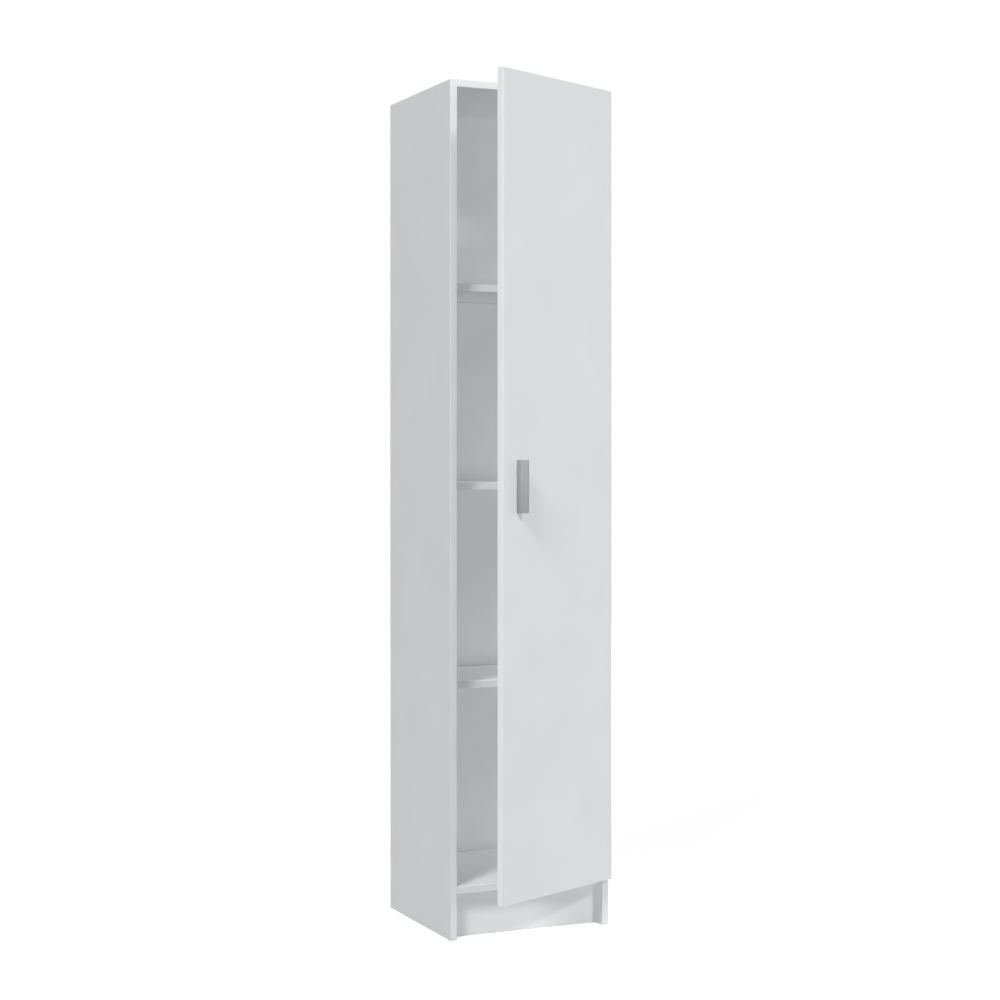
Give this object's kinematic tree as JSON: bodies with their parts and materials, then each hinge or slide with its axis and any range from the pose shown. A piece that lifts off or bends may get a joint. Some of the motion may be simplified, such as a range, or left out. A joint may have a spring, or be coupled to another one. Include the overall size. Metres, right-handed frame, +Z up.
{
  "type": "tall cupboard",
  "caption": "Tall narrow board cupboard with a hinged door ajar, shelves, a recessed plinth, concealed cup hinges and a metal wing pull, for storing household things.",
  "frame": {"origin": "on the floor, in the middle of the carcass's footprint", "axes": "+X to the right seen from the front, +Y to the back, +Z up; the door stands ajar at rest"},
  "size_m": [0.3707, 0.5248, 1.8],
  "materials": {
    "white_board": "white melamine-faced board, fine satin",
    "door_board": "white melamine-faced board, fine satin",
    "back_board": "white-faced hardboard, brown fibre on its rear",
    "edge_band": "white edging strip, satin",
    "hinge_metal": "nickel-plated casting, satin",
    "pin_steel": "bright steel",
    "screw_steel": "zinc-plated screws",
    "cam_zinc": "raw zinc casting",
    "bracket_steel": "zinc-plated sheet",
    "white_plastic": "white moulded plastic",
    "beech": "grooved beech",
    "bumper_rubber": "soft translucent pad",
    "pull_aluminium": "matt anodised aluminium"
  },
  "bodies": {
    "carcass": {"left_side_panel": "white_board", "right_side_panel": "white_board", "top_panel": "white_board", "bottom_panel": "white_board", "plinth_board": "white_board", "lower_shelf": "white_board", "middle_shelf": "white_board", "upper_shelf": "white_board", "back_panel": "back_board", "side_edge_bands": "edge_band", "rail_edge_bands": "edge_band", "shelf_edge_bands": "edge_band", "lower_hinge_arm": "hinge_metal", "lower_hinge_plate": "hinge_metal", "middle_hinge_arm": "hinge_metal", "middle_hinge_plate": "hinge_metal", "upper_hinge_arm": "hinge_metal", "upper_hinge_plate": "hinge_metal", "cam_bolts": "pin_steel", "back_nails": "pin_steel", "hinge_plate_screws": "screw_steel", "hinge_arm_screws": "screw_steel", "wall_bracket_screws": "screw_steel", "cam_locks": "cam_zinc", "wall_bracket": "bracket_steel", "cam_caps": "white_plastic", "shelf_supports": "white_plastic", "wooden_dowels": "beech"},
    "door": {"door_panel": "door_board", "door_edge_bands": "edge_band", "door_bumpers": "bumper_rubber", "handle": "pull_aluminium", "handle_screws": "screw_steel", "hinge_cup_screws": "screw_steel", "lower_hinge_cup": "hinge_metal", "lower_hinge_pin": "pin_steel", "middle_hinge_cup": "hinge_metal", "middle_hinge_pin": "pin_steel", "upper_hinge_cup": "hinge_metal", "upper_hinge_pin": "pin_steel"}
  },
  "joints": [
    {"name": "door_swing", "type": "hinge", "parent": "carcass", "child": "door", "pos_m": [0.1765, -0.1854, 0.95], "axis": [0, 0, 1], "range_deg": [-26, 69]}
  ]
}
